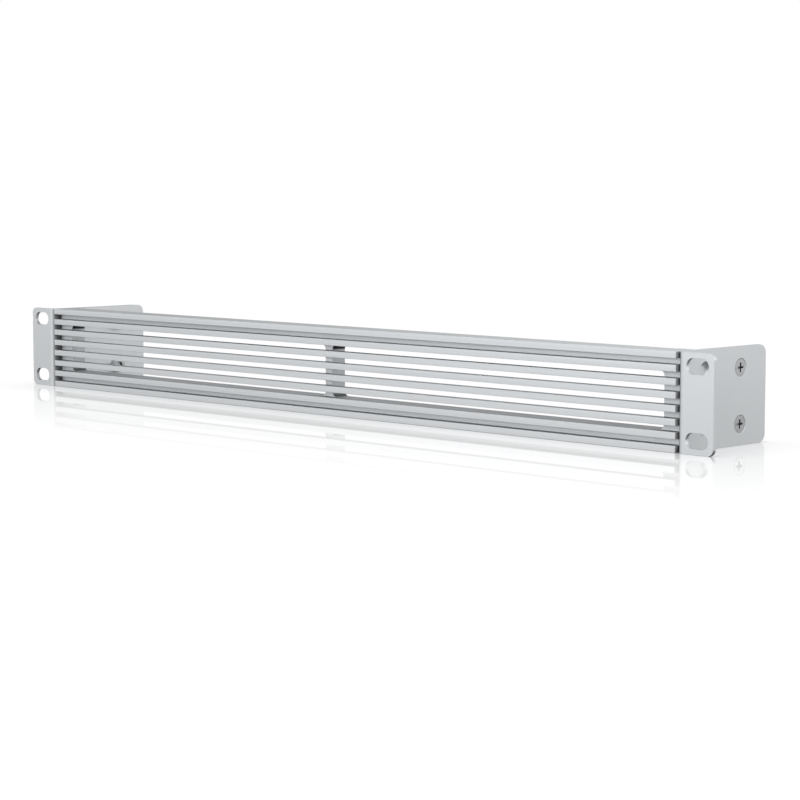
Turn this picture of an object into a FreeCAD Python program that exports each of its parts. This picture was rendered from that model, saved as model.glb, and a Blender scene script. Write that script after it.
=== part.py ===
# Vented blanking panel for a 19 inch rack, one rack unit high.
# X runs along the panel, Y to the back of the rack, Z up. The origin is the centre of the four rack
# slots, on the plane of the rack rails that the backs of the ears meet.
import FreeCAD, Part
import os
from math import atan2, pi
from types import SimpleNamespace

import Sketcher
from FreeCAD import Placement, Rotation, Vector

# Driving dimensions in millimetres
SIZES = {
    "slot_spacing_wide": 465.1,
    "slot_spacing_high": 31.75,
    "slot_length": 12.0,
    "slot_width": 7.0,
    "slot_to_end": 8.75,
    "slot_to_edge": 5.925,
    "slot_to_flange": 9.25,
    "panel_depth": 13.6,
    "bar_count": 8,
    "bar_height": 3.0,
    "groove_depth": 5.0,
    "closed_grooves": 1,
    "end_pillar": 10.0,
    "middle_rib": 5.0,
    "window_corner": 2.8,
    "ear_thickness": 2.0,
    "ear_bend": 2.0,
    "ear_corner": 3.0,
    "flange_depth": 61.5,
    "flange_corner": 4.0,
    "side_hole_spacing": 25.0,
    "side_hole_setback": 30.5,
    "bracket_thickness": 1.2,
    "bracket_bend": 1.0,
    "leg_overhang": 1.5,
    "ear_screw_thread": 4.0,
    "ear_screw_head": 7.8,
    "ear_screw_length": 5.0,
    "ear_recess_width": 4.2,
    "ear_recess_depth": 1.3,
    "clinch_nut_width": 7.8,
    "clinch_nut_height": 3.0,
    "clinch_nut_shank": 5.4,
    "panel_screw_thread": 3.0,
    "panel_screw_head": 5.6,
    "panel_screw_head_height": 1.9,
    "panel_screw_length": 6.0,
    "panel_screw_spacing": 30.0,
    "panel_recess_width": 3.0,
    "panel_recess_depth": 1.0,
    "recess_arm": 0.9,
    "tapped_hole_room": 1.5,
    "end_gap": 0.3,
    "foot_margin": 0.5,
    "driver_room": 0.3,
    "hole_clearance": 0.35,
    "thread_clearance": 0.05,
    "press_clearance": 0.05,
    "seat_clearance": 0.1,
    "shank_clearance": 0.2,
    "head_sink": 0.1,
    "countersink_clearance": 0.05,
}
RIGHT = 1
LEFT = -1
UPPER = 1
LOWER = -1
AXIS_X, AXIS_Y, AXIS_Z = range(3)
COUNTERSINK_ANGLE = 90
EDGE_TOLERANCE = 0.0001


class Size:
    """A number together with the sheet expression that gives it."""

    def __init__(self, number, text):
        self.number = number
        self.text = text

    def combine(self, sign, other, number):
        return Size(number, f"({self.text} {sign} {as_size(other).text})")

    def __add__(self, other):
        return self.combine("+", other, self.number + as_size(other).number)

    def __sub__(self, other):
        return self.combine("-", other, self.number - as_size(other).number)

    def __mul__(self, other):
        return self.combine("*", other, self.number * as_size(other).number)

    def __truediv__(self, other):
        return self.combine("/", other, self.number / as_size(other).number)

    def __neg__(self):
        return self * -1


def as_size(value):
    return value if isinstance(value, Size) else Size(value, f"({value})")


def larger(one, other):
    return Size(max(one.number, other.number), f"max({one.text}; {other.text})")


ZERO = as_size(0)

doc = FreeCAD.newDocument("vented_blanking_panel")
sheet = doc.addObject("Spreadsheet::Sheet", "sizes")
for row, (alias, number) in enumerate(SIZES.items(), start=1):
    sheet.set(f"A{row}", alias)
    sheet.set(f"B{row}", str(number))
    sheet.setAlias(f"B{row}", alias)
doc.recompute()
size = SimpleNamespace(**{alias: Size(number, f"sizes.{alias}") for alias, number in SIZES.items()})

# Planes and places that several pieces share
slot_x = size.slot_spacing_wide / 2
slot_z = size.slot_spacing_high / 2
half_height = slot_z + size.slot_to_edge
piece_height = half_height * 2
front = -size.ear_thickness
flange_outside = slot_x - size.slot_to_flange
flange_inside = flange_outside - size.ear_thickness
flange_back = front + size.flange_depth
panel_end = flange_inside - size.end_gap
panel_back = front + size.panel_depth
bar_pitch = (piece_height - size.bar_height) / (size.bar_count - 1)
leg_inside = flange_inside - size.bracket_thickness
leg_back = flange_back + size.leg_overhang
foot_back = panel_back + size.bracket_thickness
front_hole_y = front + size.side_hole_setback - size.side_hole_spacing / 2
rear_hole_y = front_hole_y + size.side_hole_spacing
side_hole_z = size.side_hole_spacing / 2
window_end = panel_end - size.end_pillar
panel_screw_x = leg_inside - size.bracket_bend - size.driver_room - size.panel_screw_head / 2
panel_screw_z = size.panel_screw_spacing / 2


def bind(thing, path, value):
    """Sets one property of an object from the sheet."""
    thing.setExpression(path, value.text)


def new_body(label):
    body = doc.addObject("PartDesign::Body", label)
    body.Label = label
    return body


def origin_feature(body, role):
    return next(item for item in body.Origin.OriginFeatures if item.Role == role)


def new_sketch(body, name, role, offset=ZERO):
    """A sketch on one of the body's origin planes, moved along the plane's normal."""
    sketch = body.newObject("Sketcher::SketchObject", name)
    sketch.AttachmentSupport = [(origin_feature(body, role), "")]
    sketch.MapMode = "FlatFace"
    bind(sketch, "AttachmentOffset.Base.z", offset)
    return sketch


def dimension(sketch, constraint, value):
    """Adds a dimension and binds it to the sheet."""
    index = sketch.addConstraint(constraint)
    sketch.renameConstraint(index, f"size_{index}")
    bind(sketch, f"Constraints.size_{index}", value)


def pin(sketch, curve, point, across, up):
    """Fixes a point of a curve by its distances from the sketch's axes."""
    dimension(sketch, Sketcher.Constraint("DistanceX", -1, 1, curve, point, across.number), across)
    dimension(sketch, Sketcher.Constraint("DistanceY", -1, 1, curve, point, up.number), up)


def place_of(across, up):
    return Vector(across.number, up.number, 0)


def draw_outline(sketch, corners):
    """A closed outline of straight lines through the given corners."""
    places = [place_of(*corner) for corner in corners]
    lines = [sketch.addGeometry(Part.LineSegment(start, end))
             for start, end in zip(places, places[1:] + places[:1])]
    for line, following in zip(lines, lines[1:] + lines[:1]):
        sketch.addConstraint(Sketcher.Constraint("Coincident", line, 2, following, 1))
    for line, corner in zip(lines, corners):
        pin(sketch, line, 1, *corner)


def draw_rectangle(sketch, left, right, bottom, top):
    draw_outline(sketch, [(left, bottom), (right, bottom), (right, top), (left, top)])


def draw_circle(sketch, across, up, radius):
    circle = sketch.addGeometry(Part.Circle(place_of(across, up), Vector(0, 0, 1), radius.number))
    pin(sketch, circle, 3, across, up)
    dimension(sketch, Sketcher.Constraint("Radius", circle, radius.number), radius)


def draw_round_outline(sketch, centres, radius):
    """Equal round corners about the given centres, anticlockwise, joined by straight lines."""
    places = [place_of(*centre) for centre in centres]
    leaving = [atan2(end.y - start.y, end.x - start.x) - pi / 2
               for start, end in zip(places, places[1:] + places[:1])]
    arriving = leaving[-1:] + leaving[:-1]
    curves = []
    arcs = []
    for place, start, end in zip(places, arriving, leaving):
        turn = (end - start) % (2 * pi)
        circle = Part.Circle(place, Vector(0, 0, 1), radius.number)
        curves.append(Part.ArcOfCircle(circle, start, start + turn))
        arcs.append(sketch.addGeometry(curves[-1]))
    for index, arc in enumerate(arcs):
        following = (index + 1) % len(arcs)
        line = sketch.addGeometry(Part.LineSegment(curves[index].EndPoint, curves[following].StartPoint))
        sketch.addConstraint(Sketcher.Constraint("Tangent", arc, 2, line, 1))
        sketch.addConstraint(Sketcher.Constraint("Tangent", line, 2, arcs[following], 1))
    for arc, centre in zip(arcs, centres):
        pin(sketch, arc, 3, *centre)
        dimension(sketch, Sketcher.Constraint("Radius", arc, radius.number), radius)


def pad(body, name, sketch, length):
    """Thickens a sketch evenly to both sides of its plane."""
    feature = body.newObject("PartDesign::Pad", name)
    feature.Profile = sketch
    feature.SideType = "Symmetric"
    bind(feature, "Length", length)
    doc.recompute()


def pocket(body, name, sketch, depth=None, along_normal=False):
    """Cuts a sketch to a depth, or through all when no depth is given, and sees that material went."""
    before = body.Tip.Shape.Volume
    feature = body.newObject("PartDesign::Pocket", name)
    feature.Profile = sketch
    if depth is None:
        feature.Type = "ThroughAll"
        feature.SideType = "Symmetric"
    else:
        feature.Reversed = along_normal
        bind(feature, "Length", depth)
    doc.recompute()
    if not feature.Shape.Volume < before:
        raise RuntimeError(f"{body.Label}: {name} removed nothing")
    return feature


def repeat(body, kind, name, original):
    """A pattern or mirror image of one feature, which becomes the body's tip."""
    feature = body.newObject(f"PartDesign::{kind}", name)
    feature.Originals = [original]
    body.Tip = feature
    return feature


def revolve(body, name, sketch):
    """Turns a half outline about the body's X axis."""
    feature = body.newObject("PartDesign::Revolution", name)
    feature.Profile = sketch
    feature.ReferenceAxis = (origin_feature(body, "X_Axis"), [""])
    feature.Angle = 360
    doc.recompute()


def edge_names(shape, axis, places):
    """Names of the straight edges along one axis through the given places."""
    others = [item for item in range(3) if item != axis]
    names = []
    for number, edge in enumerate(shape.Edges, start=1):
        ends = [vertex.Point for vertex in edge.Vertexes]
        for place in places:
            misses = [abs(end[item] - place[item].number) for end in ends for item in others]
            if len(ends) == 2 and max(misses) < EDGE_TOLERANCE:
                names.append(f"Edge{number}")
    return names


def round_edges(body, name, axis, places, radius):
    """Rounds the straight edges along one axis through the given places."""
    base = body.Tip
    names = edge_names(base.Shape, axis, places)
    if len(names) < len(places):
        raise RuntimeError(f"{body.Label}: {name} found {len(names)} edges of {len(places)}")
    feature = body.newObject("PartDesign::Fillet", name)
    feature.Base = (base, names)
    bind(feature, "Radius", radius)
    doc.recompute()


def place_body(body, turn, x, y, z):
    """Turns a body and moves it to its place."""
    body.Placement = Placement(Vector(x.number, y.number, z.number), turn)
    bind(body, "Placement.Base.x", x)
    bind(body, "Placement.Base.y", y)
    bind(body, "Placement.Base.z", z)
    return body


def facing(side):
    """The turn of a piece drawn for the right-hand end when it serves at the given end."""
    return Rotation(Vector(0, 1, 0), 0 if side == RIGHT else 180)


def make_front_panel(label):
    """The grille: an extruded comb of bars on a back that two windows open from behind."""
    body = new_body(label)
    block = new_sketch(body, "block_section", "YZ_Plane")
    draw_rectangle(block, front, panel_back, -half_height, half_height)
    pad(body, "block", block, panel_end * 2)

    groove = new_sketch(body, "groove_section", "YZ_Plane")
    lowest_bar_top = size.bar_height - half_height
    lowest_groove_top = bar_pitch - half_height
    draw_rectangle(groove, front, front + size.groove_depth, lowest_bar_top, lowest_groove_top)
    lowest_groove = pocket(body, "lowest_groove", groove)
    grooves = repeat(body, "LinearPattern", "grooves", lowest_groove)
    grooves.Direction = (origin_feature(body, "Z_Axis"), [""])
    bind(grooves, "Length", bar_pitch * (size.bar_count - 2))
    bind(grooves, "Occurrences", size.bar_count - 1)
    doc.recompute()

    window = new_sketch(body, "window_outline", "XZ_Plane", -panel_back)
    inner_x = size.middle_rib / 2 + size.window_corner
    outer_x = window_end - size.window_corner
    corner_z = half_height - size.bar_height - bar_pitch * size.closed_grooves - size.window_corner
    centres = [(inner_x, -corner_z), (outer_x, -corner_z), (outer_x, corner_z), (inner_x, corner_z)]
    draw_round_outline(window, centres, size.window_corner)
    web = size.panel_depth - size.groove_depth
    right_window = pocket(body, "right_window", window, web, along_normal=True)
    windows = repeat(body, "Mirrored", "windows", right_window)
    windows.MirrorPlane = (origin_feature(body, "YZ_Plane"), [""])
    doc.recompute()

    tapped = new_sketch(body, "tapped_hole_places", "XZ_Plane", -panel_back)
    for side in (LEFT, RIGHT):
        for level in (LOWER, UPPER):
            radius = size.panel_screw_thread / 2 + size.thread_clearance
            draw_circle(tapped, panel_screw_x * side, panel_screw_z * level, radius)
    depth = size.panel_screw_length - size.bracket_thickness + size.tapped_hole_room
    pocket(body, "tapped_holes", tapped, depth, along_normal=True)
    return body


def make_ear(side, label):
    """A rack ear: front plate with two slots, bent back into a side flange with countersunk holes."""
    body = new_body(label)
    outer_end = slot_x + size.slot_to_end
    profile = new_sketch(body, "bent_sheet", "XY_Plane")
    draw_outline(profile, [
        (flange_inside, front),
        (outer_end, front),
        (outer_end, ZERO),
        (flange_outside, ZERO),
        (flange_outside, flange_back),
        (flange_inside, flange_back),
    ])
    pad(body, "sheet", profile, piece_height)
    round_edges(body, "bend_inside", AXIS_Z, [(flange_outside, ZERO, ZERO)], size.ear_bend)
    outer_bend = size.ear_bend + size.ear_thickness
    round_edges(body, "bend_outside", AXIS_Z, [(flange_inside, front, ZERO)], outer_bend)

    slots = new_sketch(body, "rack_slots", "XZ_Plane")
    straight = (size.slot_length - size.slot_width) / 2
    for level in (LOWER, UPPER):
        centres = [(slot_x - straight, slot_z * level), (slot_x + straight, slot_z * level)]
        draw_round_outline(slots, centres, size.slot_width / 2)
    pocket(body, "slots", slots)

    drill_holes(body)
    corners = [(outer_end, ZERO, half_height * level) for level in (LOWER, UPPER)]
    round_edges(body, "ear_corners", AXIS_Y, corners, size.ear_corner)
    corners = [(ZERO, flange_back, half_height * level) for level in (LOWER, UPPER)]
    round_edges(body, "flange_corners", AXIS_X, corners, size.flange_corner)
    return place_body(body, facing(side), ZERO, ZERO, ZERO)


def drill_holes(body):
    """Four countersunk screw holes in the flange, drilled from its outside."""
    before = body.Tip.Shape.Volume
    radius = size.ear_screw_thread / 2 + size.countersink_clearance
    places = new_sketch(body, "side_hole_places", "YZ_Plane", flange_outside)
    for hole_y in (front_hole_y, rear_hole_y):
        for level in (LOWER, UPPER):
            draw_circle(places, hole_y, side_hole_z * level, radius)
    doc.recompute()
    holes = body.newObject("PartDesign::Hole", "side_holes")
    holes.Profile = places
    doc.recompute()
    holes.DepthType = "ThroughAll"
    holes.HoleCutType = "Countersink"
    holes.HoleCutCustomValues = True
    holes.HoleCutCountersinkAngle = COUNTERSINK_ANGLE
    bind(holes, "Diameter", radius * 2)
    head_room = size.head_sink + size.seat_clearance
    bind(holes, "HoleCutDiameter", size.ear_screw_head + head_room * 2)
    doc.recompute()
    if not holes.Shape.Volume < before:
        raise RuntimeError(f"{body.Label}: side holes removed nothing")


def make_side_bracket(side, label):
    """An angle bracket: a foot on the panel's back and a leg inside the ear's flange."""
    body = new_body(label)
    foot_end = window_end + size.foot_margin
    profile = new_sketch(body, "bent_sheet", "XY_Plane")
    draw_outline(profile, [
        (flange_inside, panel_back),
        (flange_inside, leg_back),
        (leg_inside, leg_back),
        (leg_inside, foot_back),
        (foot_end, foot_back),
        (foot_end, panel_back),
    ])
    pad(body, "sheet", profile, piece_height)
    round_edges(body, "bend_inside", AXIS_Z, [(leg_inside, foot_back, ZERO)], size.bracket_bend)
    outer_bend = size.bracket_bend + size.bracket_thickness
    round_edges(body, "bend_outside", AXIS_Z, [(flange_inside, panel_back, ZERO)], outer_bend)

    nut_holes = new_sketch(body, "nut_hole_places", "YZ_Plane", flange_inside)
    foot_holes = new_sketch(body, "foot_hole_places", "XZ_Plane", -foot_back)
    nut_radius = size.clinch_nut_shank / 2 + size.press_clearance
    foot_radius = size.panel_screw_thread / 2 + size.hole_clearance
    for level in (LOWER, UPPER):
        draw_circle(nut_holes, rear_hole_y, side_hole_z * level, nut_radius)
        draw_circle(foot_holes, panel_screw_x, panel_screw_z * level, foot_radius)
    pocket(body, "nut_holes", nut_holes, size.bracket_thickness)
    pocket(body, "foot_holes", foot_holes, size.bracket_thickness, along_normal=True)

    corners = [(ZERO, leg_back, half_height * level) for level in (LOWER, UPPER)]
    round_edges(body, "leg_corners", AXIS_X, corners, size.flange_corner)
    return place_body(body, facing(side), ZERO, ZERO, ZERO)


def cut_cross_recess(body, head_top, width, depth):
    """A cross-shaped driver recess in a screw head whose top faces +X."""
    cross = new_sketch(body, "recess_outline", "YZ_Plane", head_top)
    tip = width / 2
    arm = size.recess_arm / 2
    draw_outline(cross, [
        (tip, arm), (arm, arm), (arm, tip),
        (-arm, tip), (-arm, arm), (-tip, arm),
        (-tip, -arm), (-arm, -arm), (-arm, -tip),
        (arm, -tip), (arm, -arm), (tip, -arm),
    ])
    pocket(body, "cross_recess", cross, depth)


def make_ear_screw(side, level, label):
    """A countersunk screw in the flange's rear hole, turned into the bracket's clinch nut."""
    body = new_body(label)
    thread = size.ear_screw_thread / 2
    head = size.ear_screw_head / 2
    section = new_sketch(body, "half_section", "XY_Plane")
    draw_outline(section, [
        (ZERO, ZERO),
        (-size.ear_screw_length, ZERO),
        (-size.ear_screw_length, thread),
        (thread - head, thread),
        (ZERO, head),
    ])
    revolve(body, "screw", section)
    cut_cross_recess(body, ZERO, size.ear_recess_width, size.ear_recess_depth)
    head_x = flange_outside - size.head_sink
    return place_body(body, facing(side), head_x * side, rear_hole_y, side_hole_z * level)


def make_clinch_nut(side, level, label):
    """A round clinch nut: its shank in the bracket's leg, its barrel standing inside."""
    body = new_body(label)
    bore = size.ear_screw_thread / 2 + size.thread_clearance
    cone_length = (size.ear_screw_head - size.ear_screw_thread) / 2
    cone_overrun = larger(ZERO, size.head_sink + cone_length - size.ear_thickness)
    shank_end = size.bracket_thickness - cone_overrun - size.shank_clearance
    barrel = size.clinch_nut_width / 2
    section = new_sketch(body, "half_section", "XY_Plane")
    draw_outline(section, [
        (shank_end, bore),
        (shank_end, size.clinch_nut_shank / 2),
        (ZERO, size.clinch_nut_shank / 2),
        (ZERO, barrel),
        (-size.clinch_nut_height, barrel),
        (-size.clinch_nut_height, bore),
    ])
    revolve(body, "nut", section)
    return place_body(body, facing(side), leg_inside * side, rear_hole_y, side_hole_z * level)


def make_panel_screw(side, level, label):
    """A pan-head screw that holds a bracket's foot to the panel's back."""
    body = new_body(label)
    thread = size.panel_screw_thread / 2
    head = size.panel_screw_head / 2
    top = size.panel_screw_head_height
    section = new_sketch(body, "half_section", "XY_Plane")
    draw_outline(section, [
        (top, ZERO),
        (top, head),
        (ZERO, head),
        (ZERO, thread),
        (-size.panel_screw_length, thread),
        (-size.panel_screw_length, ZERO),
    ])
    revolve(body, "screw", section)
    cut_cross_recess(body, top, size.panel_recess_width, size.panel_recess_depth)
    turn = Rotation(Vector(0, 0, 1), 90)
    return place_body(body, turn, panel_screw_x * side, foot_back, panel_screw_z * level)


def make_all():
    pieces = [make_front_panel("front_panel")]
    for side, side_name in ((LEFT, "left"), (RIGHT, "right")):
        pieces.append(make_ear(side, f"{side_name}_ear"))
        pieces.append(make_side_bracket(side, f"{side_name}_side_bracket"))
        for level, level_name in ((UPPER, "upper"), (LOWER, "lower")):
            place = f"{side_name}_{level_name}"
            pieces.append(make_ear_screw(side, level, f"{place}_ear_screw"))
            pieces.append(make_clinch_nut(side, level, f"{place}_clinch_nut"))
            pieces.append(make_panel_screw(side, level, f"{place}_panel_screw"))
    return pieces


def check_document(pieces):
    """Stops before anything is written if an object failed or a shape is not one sound solid."""
    failed = [item.Name for item in doc.Objects if {"Invalid", "Error"} & set(item.State)]
    if failed:
        raise RuntimeError(f"failed objects: {failed}")
    for piece in pieces:
        shape = piece.Shape
        if shape.isNull() or not shape.isValid() or len(shape.Solids) != 1:
            raise RuntimeError(f"{piece.Label}: the shape is not one valid solid")


pieces = make_all()
doc.recompute()
check_document(pieces)
os.makedirs("parts", exist_ok=True)
for piece in pieces:
    piece.Shape.exportStep(os.path.join("parts", f"{piece.Label}.step"))
    box = piece.Shape.BoundBox
    print(f"{piece.Label}: {piece.Shape.Volume:.1f} mm3, X {box.XMin:.2f} to {box.XMax:.2f}, "
          f"Y {box.YMin:.2f} to {box.YMax:.2f}, Z {box.ZMin:.2f} to {box.ZMax:.2f}")
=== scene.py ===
# Vented blanking panel for a 19 inch rack: finishes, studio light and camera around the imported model.
# Metres, X along the panel, Y to the back of the rack, Z up.
import bpy
from math import radians, sin
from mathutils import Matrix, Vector


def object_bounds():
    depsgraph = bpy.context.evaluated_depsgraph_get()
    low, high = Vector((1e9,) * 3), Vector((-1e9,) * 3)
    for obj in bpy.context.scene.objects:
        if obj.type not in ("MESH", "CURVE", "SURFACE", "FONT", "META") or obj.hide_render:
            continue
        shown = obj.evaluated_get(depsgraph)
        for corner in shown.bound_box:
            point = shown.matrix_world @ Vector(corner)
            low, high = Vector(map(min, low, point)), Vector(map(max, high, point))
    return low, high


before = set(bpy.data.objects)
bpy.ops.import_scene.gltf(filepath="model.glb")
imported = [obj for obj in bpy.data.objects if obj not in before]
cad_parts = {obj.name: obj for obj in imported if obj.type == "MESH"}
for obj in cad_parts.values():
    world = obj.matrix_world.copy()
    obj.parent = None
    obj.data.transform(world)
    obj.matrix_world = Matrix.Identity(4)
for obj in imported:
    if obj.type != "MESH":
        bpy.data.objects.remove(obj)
cad_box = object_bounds()

# Which nodes carry which finish
ENDS = ("left", "right")
LEVELS = ("upper", "lower")
PLACES = [f"{end}_{level}" for end in ENDS for level in LEVELS]
EARS = [f"{end}_ear" for end in ENDS]
BRACKETS = [f"{end}_side_bracket" for end in ENDS]
EAR_SCREWS = [f"{place}_ear_screw" for place in PLACES]
PANEL_SCREWS = [f"{place}_panel_screw" for place in PLACES]
CLINCH_NUTS = [f"{place}_clinch_nut" for place in PLACES]

# Colours as linear red, green and blue
SILVER = (0.765, 0.785, 0.800)
SILVER_DEEP = (0.735, 0.757, 0.773)
ZINC = (0.500, 0.512, 0.520)
ZINC_DEEP = (0.420, 0.432, 0.440)
WHITE = (1.0, 1.0, 1.0)

# Grains of the finishes: the range of a noise that is used, grains per metre with detail, depths in metres
NOISE_SPAN = (0.3, 0.7)
DIE_LINES = (700.0, 3.0)
DIE_STRETCH = (0.004, 1.0, 1.0)
DIE_LINE_DEPTH = 0.000006
PORES = (5000.0, 2.0)
PORE_DEPTH = 0.000004
PEEL = (900.0, 2.0)
PEEL_DEPTH = 0.000010
FLAKES = (7000.0, 1.0)
CLOUDS = (600.0, 3.0)
SCRATCHES = (9000.0, 2.0)
SCRATCH_DEPTH = 0.000004

# Sockets of the Mix node that carry colours, by number because their names repeat
MIX_FACTOR = 0
MIX_FIRST = 6
MIX_SECOND = 7
MIX_RESULT = 2

# Satin metal: how far it mirrors, and how dim its mirror stays at a glancing angle
SATIN_METALLIC = 0.70
SATIN_SMOOTHEST = 0.45
SATIN_ROUGHEST = 0.53
GLANCING_TINT = (0.28, 0.28, 0.28)
SATIN_GLOSS = 0.25
ZINC_SMOOTHEST = 0.28
ZINC_ROUGHEST = 0.42

# Painted shade: how dark crevices, level faces deep in the grooves, the window walls and the joint beside
# the bar ends are painted; 1 keeps the finish's own colour.
# Reaches, widths and depths are in metres, spans are shares of open sky and turns are parts of a normal.
CREVICE_REACH = 0.003
CREVICE_SPAN = (0.12, 0.36)
CREVICE_SHADE = 0.25
# Painted shade on level faces deep in the grooves
LEVEL_SHADE_REACH = 0.012
LEVEL_SHADE_SPAN = (0.2, 0.4)
LEVEL_SHADE_SLOPE = (0.6, 0.9)
LEVEL_SHADE_DARKEST = 0.4
# Painted shade in the recesses of the screws and nuts
RECESS_REACH = 0.0025
RECESS_SPAN = (0.3, 0.8)
RECESS_SHADE = 0.3
# Painted shade on the window walls and their corners
CUT_SHADE = 0.75
CUT_TURN = (0.2, 0.7)
CUT_WIDTH = (0.2140, 0.2150)
CORNER_SHADE = 0.2
CORNER_TURN = (0.02, 0.25)
CORNER_BELOW = 0.42
# Painted shade on the joint face beside the bar ends
JOINT_TURN = (0.42, 0.78)
JOINT_DEPTH = (0.0035, 0.0045)
JOINT_WIDTH = (0.2240, 0.2250)
JOINT_SHADE = 0.24

# Edge rounds in metres, and the angles in degrees that part flat faces from sharp edges
PANEL_EDGE = 0.00012
SHEET_EDGE = 0.00006
FASTENER_EDGE = 0.00008
EDGE_SEGMENTS = 2
SHARP_ANGLE = 40.0
FLAT_ANGLE = 0.5
WELD_REACH = 0.000002

# Camera, from the photograph's perspective: angles in degrees, lens in millimetres
CAMERA_PLACE = (0.8142, -0.7605, 0.0953)
CAMERA_TURN = 45.03
CAMERA_DIP = 5.634
CAMERA_LENS = 101.37

# Surrounding: a white band round the horizon, a brighter sky, dimmer at back left and overhead, dark below.
# The fades are heights over the horizon in degrees.
HORIZON_LEVEL = 1.0
SKY_DIMMEST = 0.85
SKY_BRIGHTEST = 1.3
SKY_LEAN = (0.62, -0.78, 0.0)
SKY_SPAN = (-1.0, -0.1)
ZENITH_LEVEL = 0.25
GROUND_LEVEL = 0.03
GROUND_FADE = (-14.0, -4.0)
SKY_FADE = (8.0, 20.0)
ZENITH_FADE = (28.0, 42.0)

# Softboxes round the object: place, aim, size in metres and power in watts
SOFTBOXES = {
    "softbox_near": ((0.30, -0.10, 0.35), (0.20, 0.0, 0.0), 0.2, 1.0),
    "softbox_front": ((0.46, -0.66, 0.20), (0.15, 0.0, 0.0), 0.3, 1.0),
    "softbox_middle": ((-0.25, -0.63, 0.15), (0.10, 0.0, 0.0), 0.3, 0.41),
    "softbox_left": ((-0.80, -0.60, 0.20), (-0.15, 0.0, 0.0), 0.3, 0.22),
    "softbox_right": ((0.77, 0.75, 0.15), (0.24, 0.03, 0.0), 0.3, 0.29),
}

# Floor: its glow, how dim its painted shadow round the object and in the gaps under it is, and its clear
# polish
FLOOR_SIZE = 40.0
FLOOR_SHADE = (0.03, 0.03, 0.03)
FLOOR_GLOW = 1.0
FLOOR_SHADOW = 0.52
FLOOR_SHADOW_REACH = 0.04
FLOOR_GAP_SHADOW = 0.45
FLOOR_GAP_SHADOW_REACH = 0.004
FLOOR_POLISH = 0.85
FLOOR_POLISH_REACH = 0.15
FLOOR_ROUGHNESS = 0.03
FLOOR_COAT_INDEX = 1.45


def new_material(name):
    """A node material with its tree and its main shader."""
    material = bpy.data.materials.new(name)
    material.use_nodes = True
    tree = material.node_tree
    return material, tree, tree.nodes["Principled BSDF"]


def add_node(tree, kind, **settings):
    """A node with its settings: sockets by their names with spaces as underscores, or properties."""
    node = tree.nodes.new(kind)
    for name, value in settings.items():
        socket = node.inputs.get(name.replace("_", " "))
        if socket is None:
            setattr(node, name, value)
        else:
            socket.default_value = value
    return node


def grain(tree, scale, detail, stretch=(1.0, 1.0, 1.0)):
    """Noise in the part's own coordinates, scale in grains per metre, stretched along the axes."""
    place = add_node(tree, "ShaderNodeTexCoord")
    mapping = add_node(tree, "ShaderNodeMapping", Scale=stretch)
    noise = add_node(tree, "ShaderNodeTexNoise", Scale=scale, Detail=detail)
    tree.links.new(place.outputs["Object"], mapping.inputs["Vector"])
    tree.links.new(mapping.outputs["Vector"], noise.inputs["Vector"])
    return noise.outputs["Fac"]


def ramp(tree, value, limits, first, second):
    """Goes evenly from one number to another while a value crosses its limits."""
    low, high = limits
    node = add_node(tree, "ShaderNodeMapRange", From_Min=low, From_Max=high, To_Min=first, To_Max=second)
    tree.links.new(value, node.inputs["Value"])
    return node.outputs["Result"]


def span(tree, noise, low, high):
    """Spreads a noise value over a range."""
    return ramp(tree, noise, NOISE_SPAN, low, high)


def between(tree, noise, first, second):
    """A colour between two by a noise value."""
    mix = add_node(tree, "ShaderNodeMix", data_type="RGBA")
    mix.inputs[MIX_FIRST].default_value = (*first, 1.0)
    mix.inputs[MIX_SECOND].default_value = (*second, 1.0)
    tree.links.new(span(tree, noise, 0.0, 1.0), mix.inputs[MIX_FACTOR])
    return mix.outputs[MIX_RESULT]


def bump(tree, height, depth, normal=None):
    """A bump of the given depth in metres, over another one where its normal is given."""
    node = add_node(tree, "ShaderNodeBump", Strength=1.0, Distance=depth)
    tree.links.new(height, node.inputs["Height"])
    if normal is not None:
        tree.links.new(normal, node.inputs["Normal"])
    return node.outputs["Normal"]


def calculate(tree, operation, first, second=0.0):
    """One step of arithmetic between a socket and a socket or a number."""
    node = add_node(tree, "ShaderNodeMath", operation=operation)
    tree.links.new(first, node.inputs[0])
    if isinstance(second, float):
        node.inputs[1].default_value = second
    else:
        tree.links.new(second, node.inputs[1])
    return node.outputs["Value"]


def split(tree, kind):
    """The three parts of the surface's place or of its normal."""
    parts = add_node(tree, "ShaderNodeSeparateXYZ")
    tree.links.new(add_node(tree, "ShaderNodeNewGeometry").outputs[kind], parts.inputs["Vector"])
    return [parts.outputs[axis] for axis in "XYZ"]


def shaded(tree, colour, shade):
    """A colour dimmed by a shade."""
    dim = add_node(tree, "ShaderNodeVectorMath", operation="SCALE")
    tree.links.new(colour, dim.inputs[0])
    tree.links.new(shade, dim.inputs["Scale"])
    return dim.outputs["Vector"]


def crevice_shade(tree, reach, limits, darkest):
    """Painted shade in narrow places: darkest where little open sky is within reach, 1 in the open."""
    openness = add_node(tree, "ShaderNodeAmbientOcclusion", Distance=reach).outputs["AO"]
    return ramp(tree, openness, limits, darkest, 1.0)


def level_face_painted_shade(tree):
    """Painted shade on level faces deep in the grooves."""
    narrow = crevice_shade(tree, LEVEL_SHADE_REACH, LEVEL_SHADE_SPAN, LEVEL_SHADE_DARKEST)
    level = ramp(tree, split(tree, "Normal")[2], LEVEL_SHADE_SLOPE, 0.0, 1.0)
    loss = calculate(tree, "MULTIPLY", calculate(tree, "SUBTRACT", narrow, 1.0), level)
    return calculate(tree, "ADD", loss, 1.0)


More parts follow.
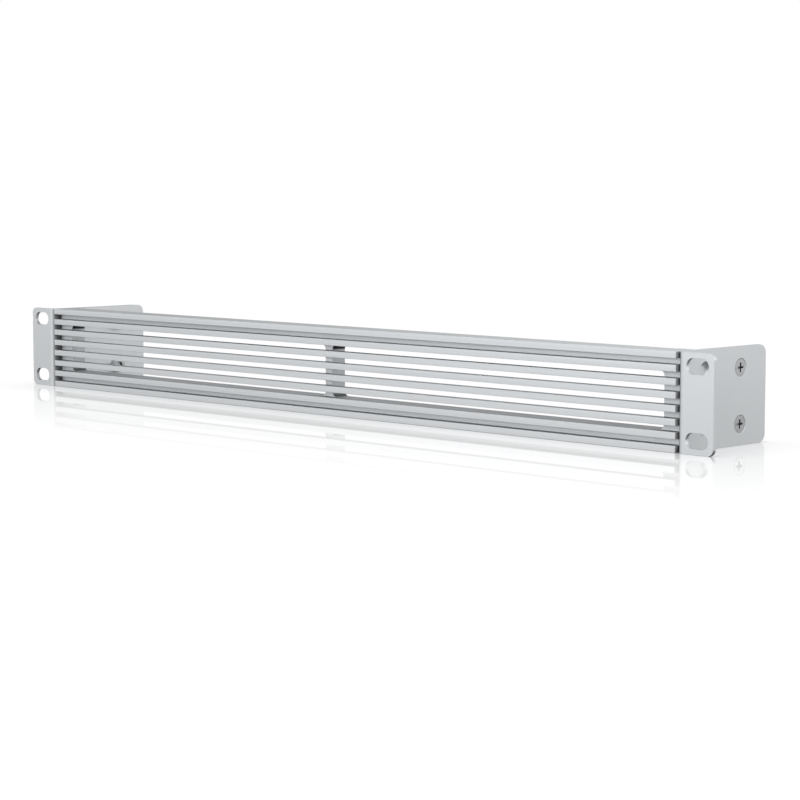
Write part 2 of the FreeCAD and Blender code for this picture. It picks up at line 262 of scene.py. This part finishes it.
def cut_shade(tree):
    """Painted shade on the milled window walls, most in the upper corners."""
    normal_x, _, normal_z = split(tree, "Normal")
    reach = calculate(tree, "ABSOLUTE", split(tree, "Position")[0])
    inside = ramp(tree, reach, CUT_WIDTH, 1.0, 0.0)
    across = calculate(tree, "MULTIPLY", calculate(tree, "ABSOLUTE", normal_x), inside)
    below = calculate(tree, "MULTIPLY", normal_z, CORNER_BELOW)
    facing = calculate(tree, "MAXIMUM", below, calculate(tree, "MULTIPLY", normal_z, -1.0))
    slanted = calculate(tree, "MULTIPLY", across, facing)
    straight = ramp(tree, across, CUT_TURN, 1.0, CUT_SHADE)
    corner = ramp(tree, slanted, CORNER_TURN, 1.0, CORNER_SHADE)
    return calculate(tree, "MULTIPLY", straight, corner)


def joint_shade(tree):
    """Painted shade on the joint face of a bend that is turned to the bar ends."""
    normal_x = split(tree, "Normal")[0]
    place_x, place_y, _ = split(tree, "Position")
    outward = calculate(tree, "SIGN", place_x)
    inward = calculate(tree, "MULTIPLY", calculate(tree, "MULTIPLY", normal_x, outward), -1.0)
    turned_in = ramp(tree, inward, JOINT_TURN, 0.0, 1.0)
    shallow = ramp(tree, place_y, JOINT_DEPTH, 1.0, 0.0)
    close = ramp(tree, calculate(tree, "ABSOLUTE", place_x), JOINT_WIDTH, 1.0, 0.0)
    share = calculate(tree, "MULTIPLY", calculate(tree, "MULTIPLY", turned_in, shallow), close)
    return ramp(tree, share, (0.0, 1.0), 1.0, JOINT_SHADE)


def make_satin(shader):
    """The even settings that both satin silver finishes share."""
    shader.inputs["Metallic"].default_value = SATIN_METALLIC
    shader.inputs["Specular Tint"].default_value = (*GLANCING_TINT, 1.0)
    shader.inputs["Specular IOR Level"].default_value = SATIN_GLOSS


def satin_aluminium():
    """Extruded aluminium with a satin silver anodised finish: fine die lines along the bars."""
    material, tree, shader = new_material("satin_aluminium")
    lines = grain(tree, *DIE_LINES, DIE_STRETCH)
    pores = grain(tree, *PORES)
    # Painted shade where little open sky is within reach
    painted_crevices = crevice_shade(tree, CREVICE_REACH, CREVICE_SPAN, CREVICE_SHADE)
    # Painted shade on the window walls, most in their upper corners
    shade = calculate(tree, "MULTIPLY", painted_crevices, cut_shade(tree))
    # Painted shade on level faces deep in the grooves
    shade = calculate(tree, "MULTIPLY", shade, level_face_painted_shade(tree))
    skin = between(tree, lines, SILVER, SILVER_DEEP)
    tree.links.new(shaded(tree, skin, shade), shader.inputs["Base Color"])
    tree.links.new(span(tree, lines, SATIN_SMOOTHEST, SATIN_ROUGHEST), shader.inputs["Roughness"])
    rough = bump(tree, pores, PORE_DEPTH)
    tree.links.new(bump(tree, lines, DIE_LINE_DEPTH, rough), shader.inputs["Normal"])
    make_satin(shader)
    return material


def powder_coat():
    """Bent steel with a silver powder coat: a fine orange peel and small flakes."""
    material, tree, shader = new_material("silver_powder_coat")
    peel = grain(tree, *PEEL)
    flakes = grain(tree, *FLAKES)
    # Painted shade where little open sky is within reach
    painted_crevices = crevice_shade(tree, CREVICE_REACH, CREVICE_SPAN, CREVICE_SHADE)
    # Painted shade on the joint face beside the bar ends
    shade = calculate(tree, "MULTIPLY", painted_crevices, joint_shade(tree))
    coat = between(tree, flakes, SILVER, SILVER_DEEP)
    tree.links.new(shaded(tree, coat, shade), shader.inputs["Base Color"])
    tree.links.new(span(tree, peel, SATIN_SMOOTHEST, SATIN_ROUGHEST), shader.inputs["Roughness"])
    tree.links.new(bump(tree, peel, PEEL_DEPTH), shader.inputs["Normal"])
    make_satin(shader)
    return material


def zinc_plate():
    """Zinc-plated steel of the screws and nuts: a cloudy passivated skin over bright metal."""
    material, tree, shader = new_material("zinc_plate")
    clouds = grain(tree, *CLOUDS)
    scratches = grain(tree, *SCRATCHES)
    # Painted shade in the recesses of the screws and nuts, where little open sky is within reach
    painted_crevices = crevice_shade(tree, RECESS_REACH, RECESS_SPAN, RECESS_SHADE)
    plate = between(tree, clouds, ZINC, ZINC_DEEP)
    tree.links.new(shaded(tree, plate, painted_crevices), shader.inputs["Base Color"])
    tree.links.new(span(tree, clouds, ZINC_SMOOTHEST, ZINC_ROUGHEST), shader.inputs["Roughness"])
    tree.links.new(bump(tree, scratches, SCRATCH_DEPTH), shader.inputs["Normal"])
    shader.inputs["Metallic"].default_value = 1.0
    return material


def finish_nodes(names, material, edge):
    """Gives CAD nodes their finish and breaks their sharp edges."""
    for name in names:
        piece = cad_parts[name]
        for slot in piece.material_slots:
            slot.material = material
        soften_edges(piece, edge)


def soften_edges(piece, width):
    """Rounds the sharp edges of a CAD node by a small width."""
    weld = piece.modifiers.new("weld", "WELD")
    weld.merge_threshold = WELD_REACH
    flat = piece.modifiers.new("flat_faces", "DECIMATE")
    flat.decimate_type = "DISSOLVE"
    flat.angle_limit = radians(FLAT_ANGLE)
    bevel = piece.modifiers.new("edge_break", "BEVEL")
    bevel.width = width
    bevel.segments = EDGE_SEGMENTS
    bevel.limit_method = "ANGLE"
    bevel.angle_limit = radians(SHARP_ANGLE)
    bevel.use_clamp_overlap = False
    smooth = piece.modifiers.new("even_shading", "WEIGHTED_NORMAL")
    smooth.keep_sharp = False


def vector_step(tree, operation, first, second=(0.0, 0.0, 0.0)):
    """One step of vector arithmetic on a socket, or between a socket and a constant."""
    node = add_node(tree, "ShaderNodeVectorMath", operation=operation)
    tree.links.new(first, node.inputs[0])
    node.inputs[1].default_value = second
    return node


def polish_near_object(tree):
    """How far the floor mirrors: most at the object's foot, none beyond the reach of the polish."""
    low, high = cad_box
    centre = (low + high) / 2
    half = (high - low) / 2
    place = add_node(tree, "ShaderNodeNewGeometry").outputs["Position"]
    offset = vector_step(tree, "SUBTRACT", place, centre).outputs["Vector"]
    spread = vector_step(tree, "ABSOLUTE", offset).outputs["Vector"]
    beyond = vector_step(tree, "SUBTRACT", spread, half).outputs["Vector"]
    outside = vector_step(tree, "MAXIMUM", beyond).outputs["Vector"]
    distance = vector_step(tree, "LENGTH", outside).outputs["Value"]
    return ramp(tree, distance, (0.0, FLOOR_POLISH_REACH), FLOOR_POLISH, 0.0)


def contact_shade(tree):
    """The floor's own white with a painted shadow: dimmer round the object and dimmest in the gaps under
    it.
    """
    shadow = crevice_shade(tree, FLOOR_SHADOW_REACH, (0.0, 1.0), FLOOR_SHADOW)
    gap_shadow = crevice_shade(tree, FLOOR_GAP_SHADOW_REACH, (0.0, 1.0), FLOOR_GAP_SHADOW)
    return calculate(tree, "MULTIPLY", calculate(tree, "MULTIPLY", shadow, gap_shadow), FLOOR_GLOW)


def floor_material():
    """White floor with a painted shadow of the object, and a clear polish that mirrors its foot."""
    material, tree, shader = new_material("floor_white")
    shader.inputs["Base Color"].default_value = (*FLOOR_SHADE, 1.0)
    shader.inputs["Roughness"].default_value = 1.0
    shader.inputs["Specular IOR Level"].default_value = 0.0
    shader.inputs["Coat Roughness"].default_value = FLOOR_ROUGHNESS
    shader.inputs["Coat IOR"].default_value = FLOOR_COAT_INDEX
    shader.inputs["Emission Color"].default_value = (*WHITE, 1.0)
    tree.links.new(contact_shade(tree), shader.inputs["Emission Strength"])
    tree.links.new(polish_near_object(tree), shader.inputs["Coat Weight"])
    return material


def make_floor():
    """The floor, which only the camera sees: no light comes up from it."""
    bpy.ops.mesh.primitive_plane_add(size=FLOOR_SIZE, location=(0.0, 0.0, cad_box[0].z))
    floor = bpy.context.object
    floor.name = "floor"
    floor.data.materials.append(floor_material())
    floor.visible_diffuse = False
    floor.visible_glossy = False


def fade(tree, value, angles, first, second):
    """Goes from one level to another, a number or a socket each, between two heights over the horizon."""
    node = add_node(tree, "ShaderNodeMapRange", interpolation_type="SMOOTHSTEP")
    node.inputs["From Min"].default_value = sin(radians(angles[0]))
    node.inputs["From Max"].default_value = sin(radians(angles[1]))
    for name, level in (("To Min", first), ("To Max", second)):
        if isinstance(level, float):
            node.inputs[name].default_value = level
        else:
            tree.links.new(level, node.inputs[name])
    tree.links.new(value, node.inputs["Value"])
    return node.outputs["Result"]


def make_world():
    """The studio round the object, the same for the camera, for reflections and for soft light."""
    world = bpy.data.worlds.new("studio")
    world.use_nodes = True
    tree = world.node_tree
    direction = add_node(tree, "ShaderNodeTexCoord").outputs["Generated"]
    height = vector_step(tree, "DOT_PRODUCT", direction, (0.0, 0.0, 1.0)).outputs["Value"]
    lean = vector_step(tree, "DOT_PRODUCT", direction, SKY_LEAN).outputs["Value"]
    sky = ramp(tree, lean, SKY_SPAN, SKY_DIMMEST, SKY_BRIGHTEST)
    level = fade(tree, height, GROUND_FADE, GROUND_LEVEL, HORIZON_LEVEL)
    level = fade(tree, height, SKY_FADE, level, sky)
    level = fade(tree, height, ZENITH_FADE, level, ZENITH_LEVEL)
    background = tree.nodes["Background"]
    background.inputs["Color"].default_value = (*WHITE, 1.0)
    tree.links.new(level, background.inputs["Strength"])
    bpy.context.scene.world = world


def make_softbox(name, place, aim, size, power):
    """A square soft lamp that the camera doesn't see."""
    light = bpy.data.lights.new(name, "AREA")
    light.shape = "SQUARE"
    light.size = size
    light.energy = power
    lamp = bpy.data.objects.new(name, light)
    lamp.location = place
    direction = Vector(aim) - lamp.location
    lamp.rotation_euler = direction.to_track_quat("-Z", "Y").to_euler()
    lamp.visible_camera = False
    bpy.context.scene.collection.objects.link(lamp)


def make_camera():
    """The camera at the photograph's place."""
    data = bpy.data.cameras.new("camera")
    data.lens = CAMERA_LENS
    camera = bpy.data.objects.new("camera", data)
    camera.location = CAMERA_PLACE
    camera.rotation_euler = (radians(90.0 - CAMERA_DIP), 0.0, radians(CAMERA_TURN))
    bpy.context.scene.collection.objects.link(camera)
    bpy.context.scene.camera = camera


finish_nodes(["front_panel"], satin_aluminium(), PANEL_EDGE)
finish_nodes(EARS + BRACKETS, powder_coat(), SHEET_EDGE)
finish_nodes(EAR_SCREWS + PANEL_SCREWS + CLINCH_NUTS, zinc_plate(), FASTENER_EDGE)
make_floor()
make_world()
for name, settings in SOFTBOXES.items():
    make_softbox(name, *settings)
make_camera()
bpy.context.scene.view_settings.view_transform = "Standard"
